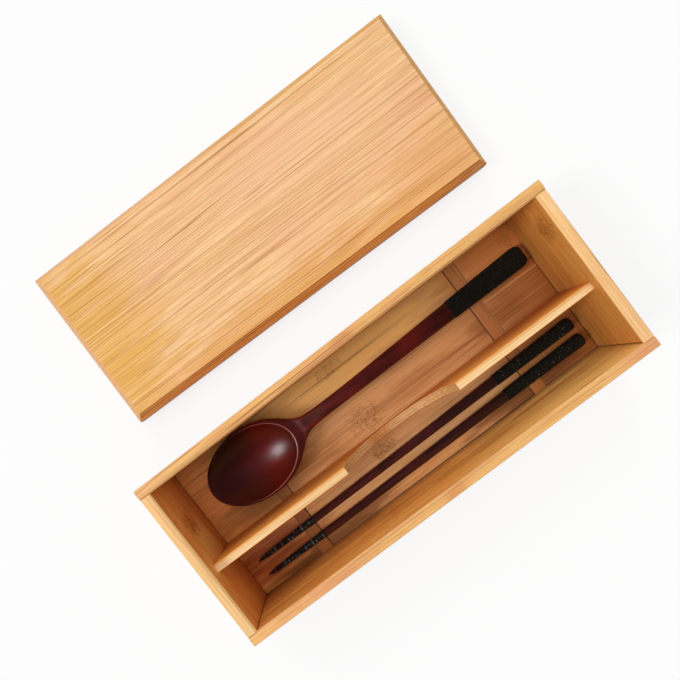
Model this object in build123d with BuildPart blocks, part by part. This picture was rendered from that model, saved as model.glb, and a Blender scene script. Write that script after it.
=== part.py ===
from build123d import *
from math import exp
import os

os.makedirs("parts", exist_ok=True)

# An open bamboo box for a spoon and a pair of chopsticks, with its flat lid lying beside it.
# Millimetres. The origin is the centre of the box's underside: +X runs along the box towards
# the utensils' handle ends, +Y towards the lid, and +Z up.

# The chopsticks
stick_length = 223.3
stick_grip = 7.0
stick_waist = 6.0
stick_neck = 4.5
stick_tip = 2.4
stick_grip_length = 53.0
stick_point_length = 42.0
stick_end_round = 1.3
stick_corner_share = 0.32
stick_tip_corner_share = 0.45
front_stick_splay = 2.0
back_stick_splay = 2.7

# The spoon
spoon_length = 219.4
spoon_turn = 0.6
bowl_length = 61.0
bowl_width = 41.8
bowl_height = 12.0
bowl_hollow_depth = 9.6
bowl_tip_wall = 2.0
bowl_neck_wall = 4.6
bowl_side_wall = 1.5
bowl_join_drop = 2.2
neck_width = 7.9
neck_thickness = 6.4
neck_flare = 7.0
neck_thinning = 1.6
neck_flare_run = 4.2
handle_root = 7.0
handle_crest_distance = 34.0
handle_crest_rise = 1.2
grip_width = 12.3
grip_thickness = 6.0
handle_end_taper = 2.6
handle_end_corner = 2.4
handle_end_edge = 0.9
handle_corner_share = 0.42
neck_steps = 14
handle_steps = 14

# Room left round the utensils
spoon_end_gap = 14.6
spoon_wall_gap = 0.6
spoon_divider_gap = 7.2
spoon_handle_gap = 4.2
stick_end_gap = 9.0
stick_handle_gap = 5.9
stick_front_gap = 7.55
stick_pair_gap = 3.75
stick_divider_gap = 8.9
rest_gap = 0.3

# The walls and the floor
side_wall = 5.7
end_wall = 5.9
inner_depth = 45.0
floor_thickness = 5.0
floor_rebate = 2.5
rim_chamfer = 0.9
outer_chamfer = 0.5
glue_gap = 0.05

# The cross strips let into the floor
key_width = 8.0
key_depth = 2.5
key_joint = 0.35
left_key_inset = 41.2
right_key_inset = 36.4

# The divider
divider_thickness = 4.4
divider_recess = 8.0
divider_housing = 2.0
divider_chamfer = 0.4
dip_width = 70.6
dip_sill = 4.5
dip_shift = 1.2

# The hidden pins in the corners
pin_diameter = 3.0
pin_length = 16.0
pin_depth_in_side = 4.0
pin_edge_distance = 13.0

# The lid and how it lies beside the box
lid_thickness = 9.5
lid_bevel = 3.8
lid_end_reveal = 4.2
lid_foot_chamfer = 0.5
batten_width = 12.0
batten_thickness = 4.0
batten_gap = 0.5
lid_distance = 28.2
lid_shift = 8.3
lid_turn = -1.1

# Sizes that follow from those
inner_length = max(
    spoon_end_gap + spoon_length + spoon_handle_gap,
    stick_end_gap + stick_length + stick_handle_gap,
)
spoon_bay = spoon_divider_gap + bowl_width + spoon_wall_gap
stick_bay = stick_front_gap + 2 * stick_grip + stick_pair_gap + stick_divider_gap
inner_width = spoon_bay + divider_thickness + stick_bay
box_length = inner_length + 2 * end_wall
box_width = inner_width + 2 * side_wall
floor_top = floor_thickness
box_height = floor_top + inner_depth
divider_top = box_height - divider_recess
divider_y = -inner_width / 2 + stick_bay + divider_thickness / 2
rest_top = floor_top + rest_gap


# Walls

def side_wall_part(side):
    """A long wall. side is 1 for the back wall and -1 for the front one."""
    middle_y = side * (inner_width + side_wall) / 2
    inner_face = side * inner_width / 2
    with BuildPart() as wall:
        with BuildSketch(Plane.XY):
            with Locations((0, middle_y)):
                Rectangle(box_length, side_wall)
        extrude(amount=box_height)
        top_edges = wall.edges().filter_by(Axis.X).group_by(Axis.Z)[-1].sort_by(Axis.Y)
        inner_top, outer_top = (top_edges[0], top_edges[-1]) if side > 0 else (top_edges[-1], top_edges[0])
        chamfer(inner_top, rim_chamfer)
        chamfer(outer_top, outer_chamfer)
        with BuildSketch(Plane.XY):
            with Locations((0, inner_face + side * floor_rebate / 2)):
                Rectangle(inner_length + 2 * floor_rebate, floor_rebate)
        extrude(amount=floor_thickness, mode=Mode.SUBTRACT)
        with BuildSketch(Plane.XZ.offset(-inner_face)):
            with Locations(*pin_places()):
                Circle(pin_diameter / 2 + glue_gap)
        extrude(amount=-side * (pin_depth_in_side + glue_gap), mode=Mode.SUBTRACT)
    return wall.part


def pin_places():
    """The pins' centres, as distances along X and Z, on a plane square to Y."""
    across = (box_length - end_wall) / 2
    heights = (pin_edge_distance, box_height - pin_edge_distance)
    return [(end * across, height) for end in (-1, 1) for height in heights]


def end_wall_part(end):
    """A short wall. end is 1 for the right one and -1 for the left one."""
    middle_x = end * (inner_length + end_wall) / 2
    inner_face = end * inner_length / 2
    with BuildPart() as wall:
        with BuildSketch(Plane.XY):
            with Locations((middle_x, 0)):
                Rectangle(end_wall, inner_width)
        extrude(amount=box_height)
        top_edges = wall.edges().filter_by(Axis.Y).group_by(Axis.Z)[-1].sort_by(Axis.X)
        inner_top, outer_top = (top_edges[0], top_edges[-1]) if end > 0 else (top_edges[-1], top_edges[0])
        chamfer(inner_top, rim_chamfer)
        chamfer(outer_top, outer_chamfer)
        with BuildSketch(Plane.XY):
            with Locations((inner_face + end * floor_rebate / 2, 0)):
                Rectangle(floor_rebate, inner_width)
        extrude(amount=floor_thickness, mode=Mode.SUBTRACT)
        with BuildSketch(Plane.XY.offset(floor_top)):
            with Locations((inner_face + end * divider_housing / 2, divider_y)):
                Rectangle(divider_housing, divider_thickness + 2 * glue_gap)
        extrude(amount=divider_top - floor_top + glue_gap, mode=Mode.SUBTRACT)
        for side in (-1, 1):
            with BuildSketch(Plane.XZ.offset(-side * inner_width / 2)):
                with Locations(*[place for place in pin_places() if place[0] * end > 0]):
                    Circle(pin_diameter / 2 + glue_gap)
            extrude(amount=side * (pin_length - pin_depth_in_side + glue_gap), mode=Mode.SUBTRACT)
    return wall.part


back_wall = side_wall_part(1)
back_wall.label = "back_wall"
front_wall = side_wall_part(-1)
front_wall.label = "front_wall"
left_end_wall = end_wall_part(-1)
left_end_wall.label = "left_end_wall"
right_end_wall = end_wall_part(1)
right_end_wall.label = "right_end_wall"

with BuildPart() as corner_pins:
    for side in (-1, 1):
        outer_end = side * (inner_width / 2 + pin_depth_in_side)
        with BuildSketch(Plane.XZ.offset(-outer_end)):
            with Locations(*pin_places()):
                Circle(pin_diameter / 2)
        extrude(amount=side * pin_length)
corner_pins.part.label = "corner_pins"

# Floor

floor_length = inner_length + 2 * (floor_rebate - glue_gap)
floor_width = inner_width + 2 * (floor_rebate - glue_gap)
left_key_x = -inner_length / 2 + left_key_inset + key_width / 2
right_key_x = inner_length / 2 - right_key_inset - key_width / 2

with BuildPart() as floor_panel:
    with BuildSketch(Plane.XY):
        Rectangle(floor_length, floor_width)
    extrude(amount=floor_thickness)
    with BuildSketch(Plane.XY.offset(floor_top - key_depth)):
        with Locations((left_key_x + key_joint / 2, 0), (right_key_x - key_joint / 2, 0)):
            Rectangle(key_width + key_joint, floor_width)
    extrude(amount=key_depth, mode=Mode.SUBTRACT)
floor_panel.part.label = "floor_panel"


def floor_key_part(middle_x):
    """A cross strip, flush with the floor's top. Its open joint is on the side of the box's middle."""
    with BuildPart() as key:
        with BuildSketch(Plane.XY.offset(floor_top - key_depth)):
            with Locations((middle_x, 0)):
                Rectangle(key_width, floor_width)
        extrude(amount=key_depth)
    return key.part


left_floor_key = floor_key_part(left_key_x)
left_floor_key.label = "left_floor_key"
right_floor_key = floor_key_part(right_key_x)
right_floor_key.label = "right_floor_key"

# Divider: a thin board with a round finger dip that goes down almost to the floor

divider_half = inner_length / 2 + divider_housing - glue_gap
dip_left = dip_shift - dip_width / 2
dip_right = dip_shift + dip_width / 2

with BuildPart() as divider:
    with BuildSketch(Plane.XZ.offset(-divider_y)):
        with BuildLine():
            Polyline(
                (dip_left, divider_top),
                (-divider_half, divider_top),
                (-divider_half, floor_top),
                (divider_half, floor_top),
                (divider_half, divider_top),
                (dip_right, divider_top),
            )
            ThreePointArc(
                (dip_right, divider_top),
                (dip_shift, floor_top + dip_sill),
                (dip_left, divider_top),
            )
        make_face()
    extrude(amount=divider_thickness / 2, both=True)
    chamfer(divider.edges().filter_by(Axis.X).group_by(Axis.Z)[-1], divider_chamfer)
divider.part.label = "divider"

# Lid: a bevelled board on two battens that drop inside the walls when it is on

lid_length = box_length - 2 * lid_end_reveal
lid_y = box_width + lid_distance
lid_run = Vector(1, 0, 0).rotate(Axis.Z, lid_turn)
lid_plane = Plane(origin=(lid_shift, lid_y, 0), x_dir=lid_run, z_dir=(0, 0, 1))

with BuildPart() as lid_panel:
    with BuildSketch(lid_plane.offset(batten_thickness)):
        Rectangle(lid_length, box_width)
    extrude(amount=lid_thickness)
    chamfer(lid_panel.faces().sort_by(Axis.Z)[-1].edges(), lid_bevel)
    chamfer(lid_panel.faces().sort_by(Axis.Z)[0].edges(), lid_foot_chamfer)
lid_panel.part.label = "lid_panel"


def lid_batten_part(end):
    """A cross strip under the lid, just inside an end wall when the lid is on."""
    middle_x = end * (inner_length / 2 - batten_gap - batten_width / 2)
    with BuildPart() as batten:
        with BuildSketch(lid_plane):
            with Locations((middle_x, 0)):
                Rectangle(batten_width, inner_width - 2 * batten_gap)
        extrude(amount=batten_thickness)
        chamfer(batten.faces().sort_by(Axis.Z)[0].edges(), lid_foot_chamfer)
    return batten.part


left_lid_batten = lid_batten_part(-1)
left_lid_batten.label = "left_lid_batten"
right_lid_batten = lid_batten_part(1)
right_lid_batten.label = "right_lid_batten"


# Chopsticks: square with rounded corners at the grip, drawn down to a nearly round point. The
# underside is straight and lies along the floor.

def chopstick_part(tip_y, handle_y):
    handle_x = inner_length / 2 - stick_handle_gap
    tip_x = handle_x - stick_length
    run = Vector(stick_length, handle_y - tip_y, 0).normalized()

    def plane_at(distance, across):
        foot = Vector(tip_x, tip_y, rest_top) + run * distance
        return Plane(origin=foot + Vector(0, 0, across / 2), x_dir=(0, 0, 1), z_dir=run)

    stations = [
        (0, stick_tip, stick_tip_corner_share),
        (stick_point_length, stick_neck, stick_tip_corner_share),
        (stick_length - stick_grip_length, stick_waist, stick_corner_share),
        (stick_length, stick_grip, stick_corner_share),
    ]
    with BuildPart() as stick:
        for distance, across, corner_share in stations:
            with BuildSketch(plane_at(distance, across)):
                RectangleRounded(across, across, across * corner_share)
        loft(ruled=True)
        fillet(stick.faces().sort_by(Axis.X)[-1].edges(), stick_end_round)
    return stick.part


front_stick_y = -inner_width / 2 + stick_front_gap + stick_grip / 2
back_stick_y = front_stick_y + stick_grip + stick_pair_gap

back_chopstick = chopstick_part(back_stick_y - back_stick_splay, back_stick_y)
back_chopstick.label = "back_chopstick"
front_chopstick = chopstick_part(front_stick_y - front_stick_splay, front_stick_y)
front_chopstick.label = "front_chopstick"

# Spoon: an oval bowl cut from an ellipsoid, a waisted neck and a long handle that arches a little,
# widens steadily and comes down to the floor at its end. It is made square to the box and then
# turned a little about its bowl, as it lies in its bay.

spoon_y = inner_width / 2 - spoon_wall_gap - bowl_width / 2
spoon_tip_x = -inner_length / 2 + spoon_end_gap
bowl_x = spoon_tip_x + bowl_length / 2
rim_z = rest_top + bowl_height


def bowl_profile(half_length, half_width, depth):
    """Radii of the ellipsoid whose slice below the rim is half_length by half_width by depth."""
    across = (half_width**2 + depth**2) / (2 * depth)
    lift = across - depth
    along = half_length / (1 - (lift / across) ** 2) ** 0.5
    return along, across, lift


def half_ellipse(middle_x, middle_z, along, across):
    """The lower half of an upright ellipse on the spoon's middle plane, ready to be turned."""
    with BuildSketch(Plane.XZ.offset(-spoon_y)) as half:
        with BuildLine():
            EllipticalCenterArc((middle_x, middle_z), along, across, start_angle=180, arc_size=180)
            Line((middle_x - along, middle_z), (middle_x + along, middle_z))
        make_face()
    return half.sketch


outer_along, outer_across, outer_lift = bowl_profile(bowl_length / 2, bowl_width / 2, bowl_height)
hollow_length = bowl_length - bowl_tip_wall - bowl_neck_wall
hollow_x = spoon_tip_x + bowl_tip_wall + hollow_length / 2
inner_along, inner_across, inner_lift = bowl_profile(
    hollow_length / 2, bowl_width / 2 - bowl_side_wall, bowl_hollow_depth
)

handle_end_x = spoon_tip_x + spoon_length
bowl_end_x = spoon_tip_x + bowl_length
crest_x = bowl_end_x + handle_crest_distance
crest_z = rim_z + handle_crest_rise
handle_foot_z = rest_top + grip_thickness / 2


def blend(share):
    """Runs from 0 to 1 with level ends."""
    held = min(max(share, 0.0), 1.0)
    return held * held * (3 - 2 * held)


def neck_share(x):
    """How much of the neck's flare is left at x: 1 where the bowl ends, more on a straight line into the
    bowl, which meets the bowl's outline at a tangent, and next to none further on."""
    past = (x - bowl_end_x) / neck_flare_run
    return exp(-past) if past > 0 else 1 - past


def grip_share(x):
    """0 up to the handle's crest, and then up steadily to 1 at the handle's end."""
    return max(x - crest_x, 0.0) / (handle_end_x - crest_x)


def handle_width(x):
    flare = neck_flare * neck_share(x)
    return neck_width + flare + (grip_width - neck_width) * grip_share(x)


def handle_thickness(x):
    thinning = neck_thinning * neck_share(x)
    return neck_thickness - thinning + (grip_thickness - neck_thickness) * grip_share(x)


def handle_middle_z(x):
    join_z = rim_z - bowl_join_drop
    if x < crest_x:
        return join_z + (crest_z - join_z) * blend((x - bowl_end_x) / (crest_x - bowl_end_x))
    return handle_foot_z + (crest_z - handle_foot_z) * blend((handle_end_x - x) / (handle_end_x - crest_x))


def handle_section(x, width, thickness, middle_z):
    """A rounded slice across the handle at x."""
    with BuildSketch(Plane(origin=(x, spoon_y, middle_z), x_dir=(0, 1, 0), z_dir=(1, 0, 0))) as section:
        RectangleRounded(width, thickness, thickness * handle_corner_share)
    return section.sketch


handle_start_x = bowl_end_x - handle_root
neck_stride = (crest_x - handle_start_x) / neck_steps
handle_stride = (handle_end_x - handle_end_taper - crest_x) / handle_steps
stations = [handle_start_x + neck_stride * step for step in range(neck_steps)]
stations += [crest_x + handle_stride * step for step in range(handle_steps + 1)]
handle_sections = [
    handle_section(x, handle_width(x), handle_thickness(x), handle_middle_z(x)) for x in stations
]
handle_sections.append(
    handle_section(
        handle_end_x,
        grip_width - 2 * handle_end_corner,
        grip_thickness - 2 * handle_end_edge,
        handle_foot_z,
    )
)

with BuildPart() as square_spoon:
    revolve(
        half_ellipse(bowl_x, rim_z + outer_lift, outer_along, outer_across),
        axis=Axis((0, spoon_y, rim_z + outer_lift), (1, 0, 0)),
    )
    split(bisect_by=Plane.XY.offset(rim_z), keep=Keep.BOTTOM)
    loft(handle_sections, ruled=True)
    revolve(
        half_ellipse(hollow_x, rim_z + inner_lift, inner_along, inner_across),
        axis=Axis((0, spoon_y, rim_z + inner_lift), (1, 0, 0)),
        mode=Mode.SUBTRACT,
    )
spoon = square_spoon.part.rotate(Axis((bowl_x, spoon_y, 0), (0, 0, 1)), spoon_turn)
spoon.label = "spoon"

for piece in (
    back_wall,
    front_wall,
    left_end_wall,
    right_end_wall,
    corner_pins.part,
    floor_panel.part,
    left_floor_key,
    right_floor_key,
    divider.part,
    lid_panel.part,
    left_lid_batten,
    right_lid_batten,
    back_chopstick,
    front_chopstick,
    spoon,
):
    export_step(piece, "parts/" + piece.label + ".step")
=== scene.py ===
from math import cos, exp, pi, radians, sin, sqrt

import bmesh
import bpy
from mathutils import Matrix, Vector


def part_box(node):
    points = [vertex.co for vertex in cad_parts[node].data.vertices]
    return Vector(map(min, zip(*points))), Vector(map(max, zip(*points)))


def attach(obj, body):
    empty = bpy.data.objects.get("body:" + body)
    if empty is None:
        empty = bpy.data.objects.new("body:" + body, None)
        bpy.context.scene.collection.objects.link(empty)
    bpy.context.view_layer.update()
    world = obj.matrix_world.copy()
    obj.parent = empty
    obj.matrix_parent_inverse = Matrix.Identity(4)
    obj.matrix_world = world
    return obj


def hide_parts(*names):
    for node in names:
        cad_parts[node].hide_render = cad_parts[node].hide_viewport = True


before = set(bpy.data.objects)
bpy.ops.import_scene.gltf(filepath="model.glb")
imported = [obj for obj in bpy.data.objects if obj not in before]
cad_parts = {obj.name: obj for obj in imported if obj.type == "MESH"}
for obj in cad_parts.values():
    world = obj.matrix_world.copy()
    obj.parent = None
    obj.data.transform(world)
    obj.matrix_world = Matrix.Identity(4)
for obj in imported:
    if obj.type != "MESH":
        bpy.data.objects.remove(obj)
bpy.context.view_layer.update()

# An open bamboo box with a lacquered spoon and a pair of chopsticks, and its lid beside it.
# Metres, in the frame's axes: +X towards the handle ends, +Y towards the lid, +Z up.

MM = 0.001
X, Y, Z = 0, 1, 2

# Places that the frame gives
spoon_low, spoon_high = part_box("spoon")
lid_low, lid_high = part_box("lid_panel")
divider_low, divider_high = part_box("divider")
wall_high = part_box("front_wall")[1]
lid_middle = (lid_low + lid_high) / 2
lid_turn = radians(-1.1)

# Where the inner faces of three walls and the divider's spoon side lie, in millimetres
left_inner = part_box("left_end_wall")[1].x / MM
right_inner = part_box("right_end_wall")[0].x / MM
front_inner = wall_high.y / MM
divider_back = divider_high.y / MM

# The spoon's places and sizes, in millimetres and square to the box
SPOON_TURN = radians(0.6)
rest_z = spoon_low.z / MM
spoon_y = (spoon_low.y + spoon_high.y) / 2 / MM
tip_x = spoon_low.x / MM
handle_end_x = spoon_high.x / MM
bowl_length = 61.0
bowl_height = 12.0
bowl_half_width = (spoon_high.y - spoon_low.y) / 2 / MM
bowl_x = tip_x + bowl_length / 2
bowl_end_x = tip_x + bowl_length
crest_x = bowl_end_x + 34.0
spoon_rim_z = rest_z + bowl_height
tip_wall = 2.2
neck_wall = 4.4
side_wall = 1.5
hollow_length = bowl_length - tip_wall - neck_wall
hollow_depth = 9.4

# How far the black coats reach from the handle ends
SPOON_GRIP = 52 * MM
STICK_GRIP = 53 * MM
grip_x = spoon_high.x - SPOON_GRIP
stick_grip_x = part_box("back_chopstick")[1].x - STICK_GRIP


# Shader node helpers

def is_socket(value):
    return isinstance(value, bpy.types.NodeSocket)


def wire(value, socket):
    """Joins a socket to another one, or sets its value."""
    if is_socket(value):
        socket.id_data.links.new(value, socket)
    else:
        socket.default_value = value


def node(owner, kind, inputs=None, out=0, **settings):
    """Adds a node to the tree that owner is in, with its settings and inputs. Returns one of its outputs."""
    made = owner.id_data.nodes.new(kind)
    for name, value in settings.items():
        setattr(made, name, value)
    for name, value in (inputs or {}).items():
        wire(value, made.inputs[name])
    return made.outputs[out]


def maths(operation, first, second=0.0):
    owner = first if is_socket(first) else second
    return node(owner, "ShaderNodeMath", {0: first, 1: second}, operation=operation)


def plus(first, second):
    return maths("ADD", first, second)


def minus(first, second):
    return maths("SUBTRACT", first, second)


def times(first, second):
    return maths("MULTIPLY", first, second)


def divided(first, second):
    return maths("DIVIDE", first, second)


def away_from(value, level):
    """How far a value lies from a level, on either side."""
    return maths("ABSOLUTE", minus(value, level))


def vector(x, y, z):
    """Three values as a vector. The first is a socket."""
    return node(x, "ShaderNodeCombineXYZ", {0: x, 1: y, 2: z})


def scaled(axes, scales):
    """Three coordinates as one vector, each times its own scale."""
    return vector(*(times(axis, scale) for axis, scale in zip(axes, scales)))


def length(x, y):
    return node(x, "ShaderNodeVectorMath", {0: vector(x, y, 0.0)}, "Value", operation="LENGTH")


def ramp(value, low, high, to_low=0.0, to_high=1.0):
    """A smooth step of value from low to high."""
    inputs = {"Value": value, "From Min": low, "From Max": high, "To Min": to_low, "To Max": to_high}
    return node(value, "ShaderNodeMapRange", inputs, "Result", interpolation_type="SMOOTHSTEP")


def mixed(share, first, second):
    return node(share, "ShaderNodeMix", {0: share, 6: first, 7: second}, 2, data_type="RGBA", clamp_factor=True)


def layered(body, layers):
    """Lays colours over body. A layer is a value, where it starts and is full, its weight and its colour."""
    for value, start, full, weight, tint in layers:
        body = mixed(ramp(value, start, full, 0.0, weight), body, tint)
    return body


def noise(place, scale=1.0, detail=2.0, roughness=0.5):
    inputs = {"Vector": place, "Scale": scale, "Detail": detail, "Roughness": roughness}
    return node(place, "ShaderNodeTexNoise", inputs)


def object_place(shader):
    return node(shader, "ShaderNodeTexCoord", out="Object")


def object_axes(shader, turn=0.0, middle=(0.0, 0.0, 0.0)):
    """Object coordinates, turned about Z round a middle point, and split in three."""
    moved = node(shader, "ShaderNodeVectorMath", {0: object_place(shader), 1: middle}, operation="SUBTRACT")
    turned = node(shader, "ShaderNodeMapping", {"Vector": moved, "Rotation": (0.0, 0.0, -turn)})
    return tuple(node(shader, "ShaderNodeSeparateXYZ", {0: turned}).node.outputs)


def colour(red, green, blue):
    """A linear colour from the usual 0 to 255 screen values."""
    def linear(value):
        share = value / 255
        return share / 12.92 if share <= 0.04045 else ((share + 0.055) / 1.055) ** 2.4
    return (linear(red), linear(green), linear(blue), 1.0)


def colours(*rows):
    return tuple(colour(*row) for row in rows)


def new_material(name, specular=0.35):
    material = bpy.data.materials.new(name)
    material.use_nodes = True
    shader = material.node_tree.nodes["Principled BSDF"]
    shader.inputs["Specular IOR Level"].default_value = specular
    return material, shader


def dress(shader, body, roughness, height=None, strength=0.0, depth=0.0):
    """Joins a colour and a roughness to the shader, and a bump of a depth in millimetres where there is one."""
    wire(body, shader.inputs["Base Color"])
    wire(roughness, shader.inputs["Roughness"])
    if height is not None:
        bump = node(shader, "ShaderNodeBump", {"Height": height, "Strength": strength, "Distance": depth * MM})
        wire(bump, shader.inputs["Normal"])


# Bamboo

# Its noises: scale along the run and across it, offset, detail and roughness
GRAIN_NOISES = {
    "streaks": (3.0, 430.0, 1.7, 3.0, 0.55),
    "fibres": (40.0, 1100.0, 5.1, 2.0, 0.7),
    "mottle": (100.0, 280.0, 17.3, 3.0, 0.65),
    "wander": (2.6, 430.0, 9.3, 1.0, 0.55),
    "fine_wander": (5.0, 1200.0, 13.9, 1.0, 0.55),
    "fading": (9.0, 260.0, 21.7, 2.0, 0.55),
}
CLOUD_SCALES = (15.0, 34.0, 34.0)
SPECK_SCALES = (900.0, 1500.0, 1500.0)
STRIP_SWAY = 1.1 * MM
STRIP_SHIFT = 37.0
SEAM_EDGE = 0.26 * MM
SEAM_CORE = 0.06 * MM


def patch_mask(along, across, patch, ragged_scale, ragged_size, stretch=1.0):
    """A ragged oval. patch is its middle and half sizes in millimetres. stretch draws its edge out."""
    middle_along, middle_across, half_along, half_across = (value * MM for value in patch)
    run_share = divided(minus(along, middle_along), half_along)
    width_share = divided(minus(across, middle_across), half_across)
    ragged = noise(vector(along, times(across, stretch), 0.0), ragged_scale, 2.0)
    ragged_reach = times(minus(ragged, 0.5), ragged_size)
    return ramp(plus(length(run_share, width_share), ragged_reach), 1.0, 0.35)


def strip_layout(along, across, width, seed):
    """The bent place across the board, the share across a strip, and a number from 0 to 1 for each strip."""
    sway = noise(vector(times(along, 14.0), times(across, 30.0), seed))
    bent = plus(across, times(minus(sway, 0.5), STRIP_SWAY))
    steps = plus(divided(bent, width), seed)
    number = maths("FLOOR", steps)
    own = node(number, "ShaderNodeTexWhiteNoise", {"W": number}, "Value", noise_dimensions="1D")
    return bent, maths("FRACT", steps), own


def grain_noises(along, bent, depth, own, seed):
    """The noises of GRAIN_NOISES, drawn out along the run and different in each strip."""
    shift = times(own, STRIP_SHIFT)
    made = {}
    for name, (run_scale, cross_scale, offset, detail, roughness) in GRAIN_NOISES.items():
        x = times(along, run_scale)
        y = times(bent, cross_scale)
        z = plus(times(depth, cross_scale), plus(shift, offset + seed))
        made[name] = noise(vector(x, y, z), 1.0, detail, roughness)
    return made


def strip_colours(tones, noises, clouds, own, strips):
    """The strips' own tones under streaks, clouds, mottle and fibres."""
    pale, mid, deep, _, blush = tones
    fibres, mottle = noises["fibres"], noises["mottle"]
    tone = plus(times(own, 0.42 * strips), times(noises["streaks"], 0.65))
    tone = plus(tone, times(fibres, 1.05))
    tone = minus(tone, 0.21 * strips - 0.085)
    body = mixed(ramp(tone, 0.66, 1.08), pale, mid)
    return layered(body, (
        (tone, 1.0, 1.5, 1.0, deep),
        (clouds, 0.45, 0.68, 0.7, blush),
        (mottle, 0.5, 0.68, 0.6, mid),
        (mottle, 0.48, 0.3, 0.5, blush),
        (fibres, 0.52, 0.8, 0.6, deep),
        (fibres, 0.48, 0.22, 0.7, pale),
    ))


def drawn_line(value, level, half_width, fading, weight):
    """Thin lines wherever a slow noise crosses a level, fading in and out along the run."""
    line = ramp(away_from(value, level), half_width, half_width * 0.3)
    return times(line, ramp(fading, 0.3, 0.7, 0.2 * weight, weight))


def with_knots(body, along, across, depth, knots, deep, thread_tone):
    """Adds darker, specked ovals where a cane's joint crosses the board."""
    specks = noise(scaled((along, across, depth), SPECK_SCALES), 1.0, 2.0, 0.7)
    speck_mask = ramp(specks, 0.44, 0.62)
    for *knot, weight in knots:
        mask = times(patch_mask(along, across, knot, 260.0, 1.6), weight)
        body = mixed(times(mask, 0.5), body, deep)
        body = mixed(times(mask, speck_mask), body, thread_tone)
    return body


def bamboo(name, grain, tones, strip, seed, turn=0.0, middle=(0.0, 0.0, 0.0), lines=1.0, strips=1.0, shades=(),
           patches=(), knots=()):
    """Laminated bamboo. grain gives the run, the strips' width and the depth as axis numbers. tones are the pale,
    mid and deep colours of the strips, the fine threads' colour and a warm blush. strip is the strips' width in
    millimetres, and lines and strips weigh the threads and the strips' own tones."""
    pale, _, deep, thread_tone, _ = tones
    material, shader = new_material(name)
    axes = object_axes(shader, turn, middle)
    along, across, depth = (axes[axis] for axis in grain)
    width = strip * MM
    bent, share, own = strip_layout(along, across, width, seed)
    noises = grain_noises(along, bent, depth, own, seed)
    clouds = noise(scaled((along, across, depth), CLOUD_SCALES), 1.0, 3.0)
    body = strip_colours(tones, noises, clouds, own, strips)

    for axis, start, full, tint, weight in shades:
        body = mixed(ramp(axes[axis], start * MM, full * MM, 0.0, weight), body, colour(*tint))
    for patch, tint, weight in patches:
        mask = patch_mask(along, across, patch, 40.0, 1.1, 5.0)
        body = mixed(times(mask, weight), body, colour(*tint))

    wander, fine_wander, fading = noises["wander"], noises["fine_wander"], noises["fading"]
    threads = drawn_line(wander, 0.5, 0.018, fading, 0.8 * lines)
    fine_threads = drawn_line(fine_wander, 0.5, 0.05, fading, 0.45 * lines)
    pale_threads = drawn_line(fine_wander, 0.62, 0.06, fading, 0.7 * lines)
    edge = maths("MINIMUM", share, minus(1.0, share))
    seam = ramp(times(edge, width), SEAM_EDGE, SEAM_CORE, 0.0, 0.5 * lines)
    body = mixed(pale_threads, body, pale)
    for line in (threads, fine_threads, seam):
        body = mixed(line, body, thread_tone)
    body = with_knots(body, along, across, depth, knots, deep, thread_tone)

    height = minus(noises["fibres"], times(plus(threads, seam), 1.2))
    dress(shader, body, ramp(noises["fibres"], 0.3, 0.7, 0.42, 0.6), height, 0.3, 0.12)
    return material


def end_grain(name, ground, dots):
    """Cut bamboo ends: round bundles of darker fibres on a pale ground."""
    material, shader = new_material(name)
    place = object_place(shader)
    cells = node(place, "ShaderNodeTexVoronoi", {"Vector": place, "Scale": 1250.0, "Randomness": 0.9}, "Distance")
    bundles = ramp(cells, 0.5, 0.25)
    patches = noise(place, 160.0, 2.0)
    body = mixed(times(bundles, ramp(patches, 0.35, 0.65, 0.25, 0.85)), ground, dots)
    body = mixed(ramp(noise(place, 60.0), 0.4, 0.7, 0.0, 0.4), body, dots)
    dress(shader, body, ramp(patches, 0.3, 0.7, 0.5, 0.68), bundles, 0.25, 0.1)
    return material


# The run, the strips' width and the depth as axis numbers: boards on edge and boards lying flat
ALONG_X = (X, Z, Y)
FLAT_X = (X, Y, Z)
ALONG_Y = (Y, Z, X)
FLAT_Y = (Y, X, Z)

# Tones of each face: pale, mid, deep, threads and blush
LID_TONES = colours((248, 209, 156), (237, 186, 130), (221, 162, 99), (176, 108, 50), (241, 184, 141))
BEVEL_TONES = colours((224, 170, 96), (210, 152, 76), (186, 126, 56), (132, 80, 36), (206, 146, 74))
# The lid's side and bevel towards the box get darker tones: painted shade.
NEAR_BEVEL_SHADE_TONES = colours((214, 150, 84), (198, 130, 64), (170, 102, 44), (120, 64, 24), (194, 120, 60))
RIM_TONES = colours((238, 186, 112), (226, 164, 98), (206, 138, 78), (158, 94, 46), (230, 154, 112))
END_RIM_TONES = colours((250, 210, 150), (242, 194, 128), (226, 170, 102), (186, 126, 68), (240, 184, 128))
RIM_BEVEL_TONES = colours((228, 182, 120), (218, 164, 104), (200, 140, 82), (172, 112, 60), (216, 152, 102))
WALL_TONES = colours((254, 190, 106), (246, 168, 78), (206, 114, 42), (140, 72, 26), (224, 136, 54))
LEFT_END_TONES = colours((255, 184, 98), (252, 162, 76), (228, 126, 48), (140, 66, 22), (240, 144, 64))
RIGHT_END_TONES = colours((228, 168, 90), (218, 152, 72), (196, 122, 48), (132, 70, 24), (208, 136, 64))
FLOOR_TONES = colours((230, 170, 112), (218, 152, 92), (194, 126, 68), (122, 70, 32), (222, 160, 108))
KEY_TONES = colours((206, 142, 84), (190, 124, 68), (162, 98, 48), (112, 60, 26), (190, 122, 70))
DIVIDER_TONES = colours((255, 182, 94), (250, 168, 80), (226, 140, 58), (150, 82, 34), (240, 154, 70))
TOP_TONES = colours((254, 218, 162), (248, 202, 140), (234, 178, 112), (198, 142, 84), (248, 202, 146))
DIP_TONES = colours((226, 176, 118), (216, 162, 104), (196, 138, 80), (146, 92, 48), (214, 156, 100))

# Screen colours that more than one face has
ochre = (228, 174, 86)
# umber: the colour of the walls' painted shade towards -X and towards the floor
umber = (120, 58, 22)
russet = (198, 112, 66)
joint_brown = (70, 34, 12)

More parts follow.
